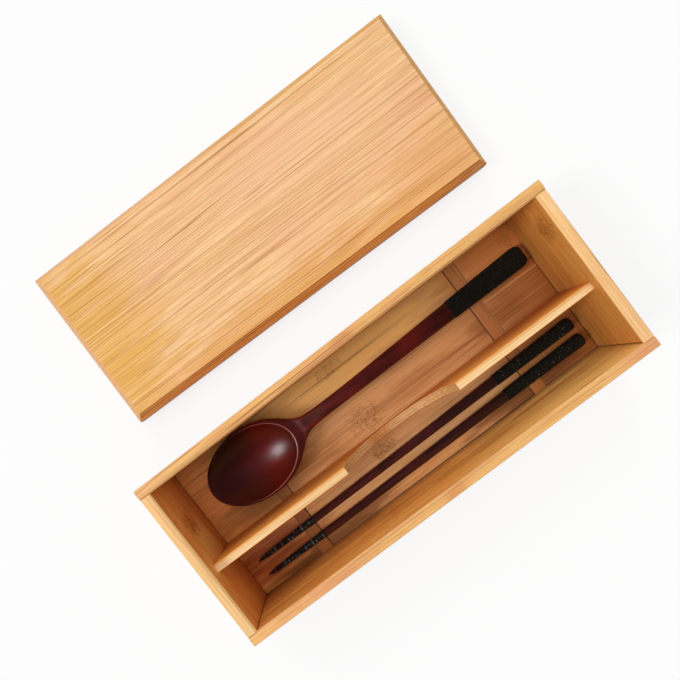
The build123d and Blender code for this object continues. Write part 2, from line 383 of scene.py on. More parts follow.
# What marks each face, in millimetres. Shades: axis, start, full place, screen colour and weight. Patches: run,
# width, half sizes, screen colour and weight. Knots, where a cane's joint crosses: run, width, half sizes and
# weight.
front_line = (Y, front_inner + 1.1, front_inner + 0.3, joint_brown, 0.8)
RIM_MARKS = {"patches": (((4, 50, 9, 30), russet, 0.4), ((-62, 50, 26, 30), russet, 0.15))}
LEFT_END_MARKS = {
    # Darker towards the floor: painted shade. The patch lightens the middle of the inner face: painted light.
    "shades": ((Z, 30, 6, umber, 0.2), front_line),
    "patches": (((0, 28, 22, 20), (255, 200, 112), 0.8),),
    "knots": ((18, 31, 9, 10, 0.9),),
}
RIGHT_END_MARKS = {
    # Darker towards the floor: painted shade.
    "shades": ((Z, 26, 6, umber, 0.25), front_line),
    "knots": ((28, 37, 9, 10, 0.8),),
}
# The divider's sides darken towards the floor: painted shade.
DIVIDER_SHADE_MARKS = {"shades": ((Z, 44, 12, (192, 104, 34), 0.95),)}
DIVIDER_TOP_MARKS = {"shades": ((Y, divider_back - 2.8, divider_back - 0.4, (222, 164, 104), 0.7),)}
# A darker patch at the left of the dip's cut, where its left shoulder casts a shadow: painted shadow.
DIP_SHADOW_MARKS = {"patches": (((-10, -8, 9, 14), (208, 126, 58), 0.85),)}
# The lid's side and bevel towards the box darken downwards: painted shade.
NEAR_BEVEL_SHADE_MARKS = {"shades": ((Z, 3, -4.5, (128, 70, 28), 0.85),)}
# The lid's ends and far bevel get lighter towards -X, where the light comes from: painted light.
END_BEVEL_LIGHT_MARKS = {"shades": ((X, 60, -60, (222, 168, 120), 0.8),)}
LID_MARKS = {"patches": (
    ((-128, -6, 72, 84), ochre, 1.0),
    ((0, -54, 150, 28), (226, 168, 92), 0.85),
    ((110, -38, 60, 34), (228, 170, 100), 0.6),
    ((40, 18, 80, 26), (246, 192, 152), 0.5),
)}
# The long walls' broad faces get lighter towards +X, painted light, and darker towards -X and towards the floor,
# painted shade.
WALL_MARKS = {
    "shades": (
        (X, -10, 90, (255, 210, 120), 0.78),
        (X, -40, -120, umber, 0.3),
        (Z, 17, 5, umber, 0.5),
    ),
    "patches": (
        ((78, 20, 34, 5), (206, 128, 52), 0.6),
        ((30, 28, 38, 4), (214, 134, 58), 0.6),
        ((-20, 22, 30, 4), (196, 112, 44), 0.5),
        ((95, 36, 20, 3), (222, 146, 70), 0.5),
    ),
    "knots": ((-26, 22, 14, 12, 0.4),),
}
FLOOR_MARKS = {
    "shades": (
        # Darker towards both ends: painted shade.
        (X, -40, -95, (226, 140, 66), 0.8),
        (X, 45, 100, (146, 80, 22), 0.88),
        (X, left_inner + 0.9, left_inner + 0.2, joint_brown, 0.8),
        (X, right_inner - 0.9, right_inner - 0.2, joint_brown, 0.8),
        front_line,
    ),
    "patches": (
        # Lighter along the back wall and in its right corner: painted light.
        ((-10, 38, 108, 18), (255, 197, 112), 0.9),
        ((104, 36, 44, 16), (212, 132, 66), 0.9),
        # Darker along the divider's foot: painted shade.
        ((24, 3, 46, 7), (176, 104, 52), 0.6),
        ((84, 4, 24, 11), (130, 66, 20), 0.6),
        # Lighter by the left end wall: painted light.
        ((-110, 34, 16, 12), (240, 160, 90), 0.5),
        # Darker along the front wall's foot, beside the bowl, and at the left of the chopsticks' bay: painted
        # shade.
        ((-66, -42, 66, 8), (112, 62, 24), 0.9),
        ((-78, 3, 72, 12), (168, 106, 50), 0.9),
        ((76, -41, 56, 8), (100, 50, 22), 0.8),
        ((-104, -28, 52, 16), (150, 62, 20), 0.85),
        # Slightly darker tints.
        ((-22, 10, 16, 9), (196, 132, 86), 0.3),
        ((0, -16, 60, 7), (190, 130, 80), 0.6),
    ),
    "knots": (
        (-10, 4, 14, 9, 0.75),
        (-12, -17, 11, 5, 0.9),
        (113, 36, 6, 5, 0.5),
        (-10, 39, 11, 5, 0.4),
    ),
}


def lid_finish(name, tones, lines, marks):
    """One of the lid's bamboos, turned with the lid, with strips that run on from face to face."""
    return bamboo(name, FLAT_X, tones, 5.6, 3.3, lid_turn, lid_middle, lines, 0.4, **marks)


def key_bamboo(node_name):
    """The floor's own bamboo for a cross strip, with a dark joint line along each of its long edges."""
    low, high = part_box(node_name)
    shades = (
        # Darker towards -X and towards -Y, as the floor is: painted shade.
        (X, -40, -80, (160, 92, 40), 0.7),
        (Y, 25, 10, (158, 90, 40), 0.6),
        (X, low.x / MM + 0.7, low.x / MM + 0.1, joint_brown, 0.7),
        (X, high.x / MM - 0.7, high.x / MM - 0.1, joint_brown, 0.7),
    )
    return bamboo(node_name + "_bamboo", FLAT_Y, KEY_TONES, 14.0, 8.4, lines=0.4, shades=shades)


lid_bamboo = lid_finish("lid_bamboo", LID_TONES, 1.0, LID_MARKS)
lid_near_shade_bamboo = lid_finish("lid_near_shade_bamboo", NEAR_BEVEL_SHADE_TONES, 1.0, NEAR_BEVEL_SHADE_MARKS)
lid_end_bamboo = lid_finish("lid_end_bamboo", BEVEL_TONES, 0.4, END_BEVEL_LIGHT_MARKS)
batten_bamboo = bamboo("batten_bamboo", FLAT_Y, KEY_TONES, 14.0, 8.4, lid_turn, lid_middle, 0.4)
rim_bamboo = bamboo("rim_bamboo", ALONG_X, RIM_TONES, 9.0, 7.1, lines=0.8, **RIM_MARKS)
end_rim_bamboo = bamboo("end_rim_bamboo", ALONG_Y, END_RIM_TONES, 9.0, 1.9, lines=0.8)
rim_bevel_bamboo = bamboo("rim_bevel_bamboo", FLAT_X, RIM_BEVEL_TONES, 9.0, 4.4, lines=0.4)
wall_bamboo = bamboo("wall_bamboo", ALONG_X, WALL_TONES, 17.0, 4.7, **WALL_MARKS)
left_end_bamboo = bamboo("left_end_bamboo", ALONG_Y, LEFT_END_TONES, 17.0, 6.2, lines=0.5, **LEFT_END_MARKS)
right_end_bamboo = bamboo("right_end_bamboo", ALONG_Y, RIGHT_END_TONES, 17.0, 5.3, lines=0.4, **RIGHT_END_MARKS)
floor_bamboo = bamboo("floor_bamboo", FLAT_X, FLOOR_TONES, 19.0, 2.6, lines=0.6, **FLOOR_MARKS)
divider_bamboo = bamboo("divider_bamboo", ALONG_X, DIVIDER_TONES, 18.0, 9.8, lines=0.6, **DIVIDER_SHADE_MARKS)
divider_top_bamboo = bamboo("divider_top_bamboo", FLAT_X, TOP_TONES, 2.2, 0.7, lines=0.8, **DIVIDER_TOP_MARKS)
dip_bamboo = bamboo("dip_bamboo", FLAT_X, DIP_TONES, 2.2, 5.9, **DIP_SHADOW_MARKS)
cut_bamboo = end_grain("cut_bamboo", colour(232, 184, 128), colour(168, 112, 64))


# Lacquer, a black coat on the grips and black points

RIM_HIGHLIGHT_REACH = 1.006
LACQUER_SCALES = (34.0, 420.0, 420.0)


def lacquer(name, tones, darker, streaks, grain_seed=0.0, paint=None):
    """Dark red-brown lacquer over a wavy grain. The deepest of its three tones comes in between the two places
    along X that darker gives. paint adds what one piece alone shows: the bowl's painted shade and highlight."""
    pale, deep, deepest = tones
    material, shader = new_material(name, 0.55)
    x, y, z = object_axes(shader)
    waves = noise(vector(times(x, 30.0), times(y, 90.0), grain_seed))
    bent = plus(y, times(waves, 6 * MM))
    grain = noise(scaled((x, bent, z), LACQUER_SCALES), 1.0, 3.0, 0.6)
    pool = noise(object_place(shader), 46.0, 2.0)
    body = mixed(ramp(grain, 0.38, 0.66, 0.0, streaks), pale, deep)
    body = layered(body, ((pool, 0.42, 0.7, 0.6, deep), (x, *darker, 0.75, deepest)))
    if paint:
        body = paint(body)
    dress(shader, body, ramp(pool, 0.3, 0.7, 0.285, 0.32), grain, 0.05, 0.1)
    return material


def bowl_shade_and_highlight(body):
    """Painted shade: the bowl's near black +Y side, and its darker handle end and -Y side.
    Painted highlight: the thin pinker line along its rim.
    """
    x, y, _ = object_axes(body, SPOON_TURN, (bowl_x * MM, spoon_y * MM, 0.0))
    # Painted shade: the +Y side near black, and darker towards the handle end and towards -Y.
    painted_shade_side = times(ramp(y, 1 * MM, 15 * MM), ramp(x, 22 * MM, -6 * MM))
    body = mixed(times(painted_shade_side, 0.88), body, colour(18, 2, 2))
    body = layered(body, (
        (x, 6 * MM, 24 * MM, 0.75, colour(56, 10, 5)),
        (y, -4 * MM, -17 * MM, 0.6, colour(60, 14, 8)),
    ))
    # Painted highlight: a thin pinker line along the rim, strongest towards the handle.
    rim_x = divided(plus(x, (neck_wall - tip_wall) / 2 * MM), hollow_length / 2 * MM)
    rim_y = divided(y, (bowl_half_width - side_wall) * MM)
    away = away_from(length(rim_x, rim_y), RIM_HIGHLIGHT_REACH)
    towards_handle = minus(x, times(y, 0.5))
    line = times(ramp(away, 0.015, 0.004), ramp(towards_handle, -12 * MM, 16 * MM, 0.0, 0.65))
    return mixed(line, body, colour(182, 102, 90))


def black_coat(name):
    """The grips' black coat, rough with fine grit."""
    material, shader = new_material(name, 0.2)
    place = object_place(shader)
    grit = noise(place, 1500.0, 2.0, 0.7)
    hue = noise(place, 420.0, 1.0)
    dust = mixed(ramp(hue, 0.42, 0.58), colour(30, 34, 26), colour(30, 28, 26))
    body = mixed(ramp(grit, 0.56, 0.7, 0.0, 0.8), colour(13, 14, 12), dust)
    dress(shader, body, ramp(grit, 0.35, 0.65, 0.5, 0.65), grit, 0.6, 0.25)
    return material


def speckle(name, dull, bright):
    """The raised grains in the black coat: mostly dark, with some dull and a few bright ones."""
    material, shader = new_material(name, 0.3)
    hue = noise(object_place(shader), 900.0, 1.0)
    body = mixed(ramp(hue, 0.5, 0.58), colour(15, 17, 13), dull)
    body = mixed(ramp(hue, 0.66, 0.69), body, bright)
    dress(shader, body, ramp(hue, 0.3, 0.7, 0.35, 0.55))
    return material


def glossy_black(name, low, high, roughness):
    """Black lacquer with a little blue in it, on the points and their rings. On the rings the pale colour stands
    in
    for glints: painted highlight.
    """
    material, shader = new_material(name, 0.5)
    smear = noise(object_place(shader), 330.0, 1.0)
    body = mixed(ramp(smear, 0.46, 0.68), low, high)
    dress(shader, body, ramp(smear, 0.3, 0.7, roughness, roughness + 0.12))
    return material


BOWL_REDS = colours((118, 8, 2), (88, 4, 0), (40, 14, 14))
HANDLE_REDS = colours((104, 12, 2), (58, 5, 1), (34, 8, 5))
STICK_REDS = colours((72, 18, 18), (40, 10, 12), (30, 10, 10))
# On the bowl, the deepest tone towards its tip is painted shade.
bowl_lacquer = lacquer("bowl_lacquer", BOWL_REDS, (-60 * MM, -92 * MM), 0.4, paint=bowl_shade_and_highlight)
spoon_lacquer = lacquer("spoon_lacquer", HANDLE_REDS, (20 * MM, grip_x), 0.9)
stick_lacquer = lacquer("stick_lacquer", STICK_REDS, (10 * MM, stick_grip_x), 1.0, 3.0)
grip_coat = black_coat("grip_coat")
spoon_speckle = speckle("spoon_speckle", colour(34, 36, 30), colour(52, 58, 50))
stick_speckle = speckle("stick_speckle", colour(50, 62, 34), colour(150, 158, 146))
point_black = glossy_black("point_black", colour(12, 13, 15), colour(24, 30, 34), 0.3)
# Black lacquer on the rings, with pale blue-grey patches that stand in for the tips' glints: painted highlight.
ring_black_glints = glossy_black("ring_black_glints", colour(16, 22, 26), colour(110, 128, 138), 0.22)


# Mesh helpers

WELD = 0.002 * MM
FLAT_ANGLE = radians(0.5)
ARRIS_ANGLE = radians(24)


def new_object(name, data):
    made = bpy.data.objects.new(name, data)
    bpy.context.scene.collection.objects.link(made)
    return made


def add_piece(name, mesh, body, slot, *nodes):
    """Links a finished mesh as a piece that rides on a body and stands for CAD nodes."""
    piece = new_object(name, mesh)
    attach(piece, body)
    if nodes:
        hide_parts(*nodes)


def finished_mesh(work, name):
    """The mesh of a piece of work that is done with."""
    mesh = bpy.data.meshes.new(name)
    work.to_mesh(mesh)
    work.free()
    return mesh


def join_rings(work, first, second, open_steps=()):
    """Faces between two closed rings, apart from those that run from one open step to another."""
    for step in range(len(first)):
        after = (step + 1) % len(first)
        if step not in open_steps or after not in open_steps:
            work.faces.new((first[step], first[after], second[after], second[step]))


def smooth_all(mesh, angle=25.0):
    """Smooth faces, with hard edges wherever two faces meet at more than angle degrees."""
    mesh.shade_smooth()
    mesh.set_sharp_from_angle(angle=radians(angle))


def eased_board(node_name, ease, choose, materials, body, slot):
    """A board with its arrises rounded off by ease. choose gives the material's number for a face."""
    work = bmesh.new()
    work.from_mesh(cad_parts[node_name].data)
    bmesh.ops.remove_doubles(work, verts=work.verts, dist=WELD)
    bmesh.ops.dissolve_limit(work, angle_limit=FLAT_ANGLE, verts=work.verts, edges=work.edges)
    sharp = [edge for edge in work.edges if edge.is_manifold and edge.calc_face_angle() > ARRIS_ANGLE]
    bmesh.ops.bevel(work, geom=sharp, offset=ease, segments=3, profile=0.5, affect="EDGES", clamp_overlap=True)
    for face in work.faces:
        face.material_index = choose(face)
    mesh = finished_mesh(work, node_name + "_board")
    for material in materials:
        mesh.materials.append(material)
    smooth_all(mesh)
    add_piece(node_name + "_board", mesh, body, slot, node_name)


# Box

WALL_EASE = 0.25 * MM
BOARD_EASE = 0.2 * MM
FLOOR_EASE = 0.12 * MM
rim_z = wall_high.z - 1.5 * MM


def wall_chooser(end_axis):
    """0 for a wall's broad faces, 1 for its top edge, 2 for its cut ends and 3 for the bevel along its rim."""
    def choose(face):
        if abs(face.normal[end_axis]) > 0.7:
            return 2
        if face.calc_center_median().z < rim_z:
            return 0
        return 1 if face.normal.z > 0.9 else 3
    return choose


def end_face(axis):
    """A chooser for boards with one broad material: 1 on the ends that face along the axis."""
    return lambda face: 1 if abs(face.normal[axis]) > 0.7 else 0


def divider_face(face):
    """0 for the sides, 1 for the top edge, 2 for the dip's cut and 3 for the ends."""
    middle = face.calc_center_median()
    if abs(face.normal.y) > 0.7:
        return 0
    if middle.z > divider_high.z - 0.8 * MM:
        return 1
    if middle.x < divider_low.x + 1 * MM or middle.x > divider_high.x - 1 * MM:
        return 3
    return 2 if face.normal.z > -0.5 else 0


long_wall_finish = (wall_bamboo, rim_bamboo, cut_bamboo, rim_bevel_bamboo)
divider_finish = (divider_bamboo, divider_top_bamboo, dip_bamboo, cut_bamboo)
for wall in ("back_wall", "front_wall"):
    eased_board(wall, WALL_EASE, wall_chooser(X), long_wall_finish, "box", "wall_bamboo")
for wall, inner_bamboo in (("left_end_wall", left_end_bamboo), ("right_end_wall", right_end_bamboo)):
    end_wall_finish = (inner_bamboo, end_rim_bamboo, cut_bamboo, end_rim_bamboo)
    eased_board(wall, WALL_EASE, wall_chooser(Y), end_wall_finish, "box", "end_bamboo")
eased_board("floor_panel", FLOOR_EASE, end_face(X), (floor_bamboo, cut_bamboo), "box", "floor_bamboo")
for key in ("left_floor_key", "right_floor_key"):
    eased_board(key, FLOOR_EASE, end_face(Y), (key_bamboo(key), cut_bamboo), "box", "floor_bamboo")
eased_board("divider", BOARD_EASE, divider_face, divider_finish, "box", "divider_bamboo")
eased_board("corner_pins", BOARD_EASE, end_face(Y), (end_rim_bamboo, cut_bamboo), "box", "pin_bamboo")


# Lid

LID_EASE = 0.3 * MM


def lid_face(face):
    """0 for the top and underside, 1 for the side and bevel towards the box and 2 for the others."""
    if abs(face.normal.z) > 0.9:
        return 0
    return 1 if -face.normal.y > abs(face.normal.x) else 2


eased_board("lid_panel", LID_EASE, lid_face, (lid_bamboo, lid_near_shade_bamboo, lid_end_bamboo), "lid", "lid_bamboo")
for batten in ("left_lid_batten", "right_lid_batten"):
    eased_board(batten, BOARD_EASE, end_face(Y), (batten_bamboo, cut_bamboo), "lid", "lid_bamboo")


# Spoon, in millimetres and square to the box until its mesh is finished

bowl_steps = 64
neck_half_steps = 7
neck_steps = [step % bowl_steps for step in range(-neck_half_steps, neck_half_steps + 1)]
handle_lines = len(neck_steps)
neck_width = 7.9
neck_flare = 7.0
neck_flare_run = 4.2
web_run = 6.0
grip_width = 12.3
handle_thickness = 6.4
neck_thinning = 1.9
neck_thinning_run = 7.0
handle_thinning = 0.4
handle_thinning_run = 80
edge_thinning = 0.66
coat = 0.2
CAP_ROUND = 0.632

# The bowl's rings, as shares of its outline, and how far each drops under the neck
HOLLOW_SHARES = (0.12, 0.28, 0.44, 0.58, 0.7, 0.8, 0.88, 0.94, 0.975)
UNDER_SHARES = ((0.93, 2.1), (0.85, 0.9), (0.74, 0.3), (0.6, 0), (0.46, 0), (0.3, 0), (0.13, 0))
side_height = 1.1

# The rings of the web, of the neck past it, and of the handle's end: how far each lies from the end and how much
# it is narrowed and flattened
WEB_SHARES = (0.16, 0.34, 0.54, 0.76, 1.0)
NECK_DISTANCES = (2.5, 6.0, 10.5, 16.0, 22.0)
HANDLE_END = ((3.2, -0.1, 0.0), (1.5, 0.5, 0.1), (0.5, 1.5, 0.4), (0.0, 2.7, 1.1))
shaft_rings = 11
grip_rings = 8


def cap(share):
    """Depth of a dish at a share of its radius: 1 in the middle and 0 at the rim."""
    flat = sqrt(1 - CAP_ROUND)
    return (sqrt(1 - CAP_ROUND * share * share) - flat) / (1 - flat)


def blend(share):
    held = min(max(share, 0.0), 1.0)
    return held * held * (3 - 2 * held)


def between(first, second, share):
    return first + (second - first) * share


def neck_weight(step):
    """1 on the spoon's middle line and 0 where the neck's web runs out into the bowl's outline."""
    away = min(step % bowl_steps, -step % bowl_steps)
    return blend(1 - away / (neck_half_steps + 0.6))


def bowl_level(shift, share, z, neck_z=None):
    """One ring round the bowl. shift runs from the hollow's outline at 0 to the bowl's own at 1, and neck_z is
    the ring's height where the neck leaves the bowl."""
    hollow_x = tip_x + tip_wall + hollow_length / 2
    middle_x = between(hollow_x, bowl_x, shift)
    half_length = between(hollow_length, bowl_length, shift) / 2 * share
    half_width = (bowl_half_width - side_wall * (1 - shift)) * share
    ring = []
    for step in range(bowl_steps):
        angle = 2 * pi * step / bowl_steps
        height = z if neck_z is None else between(z, neck_z, neck_weight(step))
        ring.append(Vector((middle_x + half_length * cos(angle), spoon_y + half_width * sin(angle), height)))
    return ring


def bowl_levels():
    """The bowl's rings from its hollow over the rim to its underside, and the number of the neck's upper ring."""
    rim = spoon_rim_z
    hollow = [bowl_level(0, share, rim - hollow_depth * cap(share)) for share in HOLLOW_SHARES]
    lip = [
        bowl_level(0, 0.996, rim - 0.12),
        bowl_level(0.2, 1, rim),
        bowl_level(0.45, 1, rim - 0.15, rim - 0.06),
        bowl_level(0.8, 1, rim - 0.6, rim - 0.08),
    ]
    sides = [bowl_level(1, 1, rim - 1.2, rim - 0.1), bowl_level(1, 0.985, rim - 2.0, rim - 4.4)]
    under = []
    for share, drop in UNDER_SHARES:
        z = rim - side_height - (bowl_height - side_height) * cap(share)
        under.append(bowl_level(1, share, z, z - drop))
    return hollow + lip + sides + under, len(hollow) + len(lip)


def handle_half_width(x):
    past = (x - bowl_end_x) / neck_flare_run
    flare = neck_flare * (exp(-past) if past > 0 else 1 - past)
    grip = max(x - crest_x, 0.0) / (handle_end_x - crest_x)
    return (neck_width + flare + (grip_width - neck_width) * grip) / 2


def handle_half_height(x):
    near = neck_thinning * exp(-max(x - bowl_end_x, 0.0) / neck_thinning_run)
    far = handle_thinning * blend((x - bowl_end_x) / handle_thinning_run)
    return (handle_thickness - near - far) / 2


def handle_middle(x):
    """The height of the handle's middle line: from the rim over a low crest and down to its end."""
    join = spoon_rim_z - 2.35
    crest = spoon_rim_z + 1.0
    foot = rest_z + 3.0
    if x < crest_x:
        return join + (crest - join) * blend((x - bowl_end_x) / (crest_x - bowl_end_x))
    return foot + (crest - foot) * blend((handle_end_x - x) / (handle_end_x - crest_x))


def handle_ring(x, narrowing=0.0, flattening=0.0):
    """A closed ring across the handle: its upper line from -Y to +Y, and its lower line back."""
    half_width = handle_half_width(x) - narrowing
    half_height = handle_half_height(x) - flattening
    middle = handle_middle(x)
    upper, lower = [], []
    for line in range(handle_lines):
        side = 2 * line / (handle_lines - 1) - 1
        across = spoon_y + half_width * sin(side * pi / 2)
        lift = half_height * (1 - edge_thinning * abs(side) ** 4)
        upper.append(Vector((x, across, middle + lift)))
        lower.append(Vector((x, across, middle - lift)))
    return upper + lower[::-1]


def web_rings(neck, first_x):
    """Rings that turn the bowl's outline at the neck into the handle's first straight ring at first_x."""
    for share in WEB_SHARES:
        ring = []
        for start, end in zip(neck, handle_ring(first_x)):
            x = between(start.x, first_x, share)
            start_spread = (start.y - spoon_y) / handle_half_width(start.x)
            end_spread = (end.y - spoon_y) / handle_half_width(first_x)
            y = spoon_y + handle_half_width(x) * between(start_spread, end_spread, blend(share))
            ring.append(Vector((x, y, between(start.z, end.z, blend(share)))))
        yield ring


def handle_stations(first_x):
    """Where the handle's rings past the web lie along X, and how much each is narrowed and flattened."""
    grip = handle_end_x - SPOON_GRIP / MM
    neck = [first_x + distance for distance in NECK_DISTANCES]
    stride = (grip - 3.0 - neck[-1]) / shaft_rings
    shaft = [neck[-1] + stride * step for step in range(1, shaft_rings + 1)]
    stations = [(x, 0.0, 0.0) for x in neck + shaft]
    stations += [(grip - 0.6, 0.0, 0.0), (grip - 0.1, 0.0, 0.0), (grip + 0.15, -coat, -coat)]
    stride = (handle_end_x - 5.5 - grip) / grip_rings
    stations += [(grip + stride * step, -coat, -coat) for step in range(1, grip_rings + 1)]
    stations += [(handle_end_x - inset, narrowing, flattening) for inset, narrowing, flattening in HANDLE_END]
    return stations


def bowl_skin(work):
    """Joins the bowl's rings with faces and closes both its middles. Returns the ring round the open neck."""
    levels, neck_level = bowl_levels()
    rings = [[work.verts.new(point) for point in level] for level in levels]
    for number, (inner, outer) in enumerate(zip(rings, rings[1:])):
        join_rings(work, inner, outer, neck_steps if number == neck_level else ())
    for ring, z in ((rings[0], spoon_rim_z - hollow_depth), (rings[-1], rest_z)):
        middle = work.verts.new((sum(vertex.co.x for vertex in ring) / bowl_steps, spoon_y, z))
        for step in range(bowl_steps):
            work.faces.new((ring[step], ring[(step + 1) % bowl_steps], middle))
    upper = [rings[neck_level][step] for step in neck_steps]
    lower = [rings[neck_level + 1][step] for step in neck_steps]
    return upper + lower[::-1]


def handle_skin(work, neck):
    """Draws the handle out of the open neck, ring by ring, and closes its end."""
    first_x = bowl_end_x + web_run
    shapes = list(web_rings([vertex.co for vertex in neck], first_x))
    shapes += [handle_ring(*station) for station in handle_stations(first_x)]
    edge = handle_lines - 1
    last = neck
    for points in shapes:
        ring = [work.verts.new(point) for point in points]
        for line in range(edge):
            work.faces.new((last[line], ring[line], ring[line + 1], last[line + 1]))
            work.faces.new((last[-2 - line], ring[-2 - line], ring[-1 - line], last[-1 - line]))
        work.faces.new((last[0], last[-1], ring[-1], ring[0]))
        work.faces.new((last[edge], ring[edge], ring[edge + 1], last[edge + 1]))
        last = ring
    for line in range(edge):
        work.faces.new((last[line], last[-1 - line], last[-2 - line], last[line + 1]))


def spoon_mesh():
    """The spoon as one closed skin: a bowl of rings, and a handle drawn out of its side."""
    work = bmesh.new()
    handle_skin(work, bowl_skin(work))
    bmesh.ops.recalc_face_normals(work, faces=work.faces)
    turn = Matrix.Rotation(SPOON_TURN, 3, "Z")
    bmesh.ops.rotate(work, cent=(bowl_x, spoon_y, 0), matrix=turn, verts=work.verts)
    bmesh.ops.transform(work, matrix=Matrix.Scale(MM, 4), verts=work.verts)
    mesh = finished_mesh(work, "spoon_skin")
    mesh.shade_smooth()
    return mesh


def carried(mesh, kind, set_up):
    """What one modifier makes of a mesh, on a carrier that is taken away again. set_up sets the modifier."""
    carrier = new_object("carrier", mesh)
    set_up(carrier.modifiers.new("carried", kind))
    depsgraph = bpy.context.evaluated_depsgraph_get()
    made = bpy.data.meshes.new_from_object(carrier.evaluated_get(depsgraph), depsgraph=depsgraph)
    bpy.data.objects.remove(carrier)
    return made


def subdivide_twice(smoother):
    smoother.levels = 2
    smoother.render_levels = 2


def finish_along(mesh, materials, limits):
    """Gives each face the material of the stretch of X that it lies in."""
    for material in materials:
        mesh.materials.append(material)
    for polygon in mesh.polygons:
        polygon.material_index = sum(polygon.center.x > limit for limit in limits)


spoon_skin = carried(spoon_mesh(), "SUBSURF", subdivide_twice)
finish_along(spoon_skin, (bowl_lacquer, spoon_lacquer, grip_coat), ((bowl_end_x + 1) * MM, grip_x))
add_piece("lacquered_spoon", spoon_skin, "spoon", "red_lacquer", "spoon")


# Chopsticks, in millimetres until each mesh is finished

stick_length = 223.3
point_length = 42.0
stick_grip_start = stick_length - STICK_GRIP / MM
stick_widths = ((0.0, 2.4), (point_length, 4.5), (stick_grip_start, 6.0), (stick_length, 7.0))
corner_steps = 5
tip_round_run = 6.0
dome_run = 1.6


def stick_width(distance):
    """The stick's width at a distance from its tip."""
    for (start, before), (end, after) in zip(stick_widths, stick_widths[1:]):
        if distance <= end:
            return before + (after - before) * (distance - start) / (end - start)
    return stick_widths[-1][1]


def stick_stops():
    """Where the stick's rings lie, as distances from its tip."""
    stops = [0.0, 0.2, 0.5, 1.0, 1.7]
    stops += [2.4 + step * 1.2 for step in range(33)]
    stops += [point_length - 0.2, point_length + 0.2]
    stops += [44 + step * 4.0 for step in range(32)]
    stops += [stick_grip_start + distance for distance in (-0.5, -0.05, 0.15)]
    stops += [stick_grip_start + 2.0 + step * 2.4 for step in range(21)]
    stops += [stick_length - distance for distance in (dome_run, 1.0, 0.55, 0.25, 0.0)]
    return sorted(set(stops))


def stick_trim(distance):
    """How far a ring is drawn in at the domed end and the rounded tip, and pushed out by the grip's coat."""
    if distance > stick_length - dome_run:
        return 1.3 * ((distance - stick_length + dome_run) / dome_run) ** 2.2 - coat
    if distance > stick_grip_start:
        return -coat
    if distance < tip_round_run:
        return 0.9 * (1 - distance / tip_round_run) ** 1.5
    return 0.0


def rounded_square(width, corner_share):
    """Points round a square with rounded corners, as pairs across and up."""
    radius = width * corner_share
    inset = width / 2 - radius
    points = []
    for quarter in range(4):
        corner_angle = pi / 4 + quarter * pi / 2
        centre = (inset * (1 if cos(corner_angle) > 0 else -1), inset * (1 if sin(corner_angle) > 0 else -1))
        for step in range(corner_steps):
            angle = quarter * pi / 2 + step * pi / 2 / (corner_steps - 1)
            points.append((centre[0] + radius * cos(angle), centre[1] + radius * sin(angle)))
    return points


def stick_ring(work, distance, tip, run):
    """The stick's ring at a distance from its tip, squarer towards the grip. Its underside stays straight."""
    width = stick_width(distance)
    corner_share = 0.44 - 0.12 * blend((distance - point_length) / 131)
    side = Vector((-run.y, run.x, 0))
    middle = tip + run * distance + Vector((0, 0, width / 2))
    outline = rounded_square(width - 2 * stick_trim(distance), corner_share)
    return [work.verts.new(middle + side * across + Vector((0, 0, up))) for across, up in outline]


def stick_mesh(name, tip, run):
    """A long tapered stick from its tip along run, with its grip coated and its end domed."""
    work = bmesh.new()
    rings = [stick_ring(work, distance, tip, run) for distance in stick_stops()]
    for before, after in zip(rings, rings[1:]):
        join_rings(work, before, after)
    work.faces.new(rings[0][::-1])
    work.faces.new(rings[-1])
    bmesh.ops.recalc_face_normals(work, faces=work.faces)
    bmesh.ops.transform(work, matrix=Matrix.Scale(MM, 4), verts=work.verts)
    mesh = finished_mesh(work, name)
    smooth_all(mesh, 40)
    return mesh


# Geometry node trees: grains scattered over a grip, and rings round a stick's tip

GRAIN_FLATNESS = 0.55


def new_geometry_tree(name, inputs):
    """An empty tree with named inputs, and what they give."""
    tree = bpy.data.node_groups.new(name, "GeometryNodeTree")
    tree.interface.new_socket("Geometry", in_out="INPUT", socket_type="NodeSocketGeometry")
    for label, kind in inputs.items():
        tree.interface.new_socket(label, in_out="INPUT", socket_type="NodeSocket" + kind)
    tree.interface.new_socket("Geometry", in_out="OUTPUT", socket_type="NodeSocketGeometry")
    return tree, tree.nodes.new("NodeGroupInput").outputs


def finish_tree(tree, points, shape, turn, size, material):
    """Puts a shape on every point, makes it real and smooth, gives it its material and ends the tree."""
    inputs = {"Points": points, "Instance": shape, "Rotation": turn, "Scale": size}
    placed = node(tree, "GeometryNodeInstanceOnPoints", inputs)
    real = node(tree, "GeometryNodeRealizeInstances", {"Geometry": placed})
    shaded = node(tree, "GeometryNodeSetShadeSmooth", {0: real})
    finished = node(tree, "GeometryNodeSetMaterial", {"Geometry": shaded, "Material": material})
    wire(finished, tree.nodes.new("NodeGroupOutput").inputs["Geometry"])


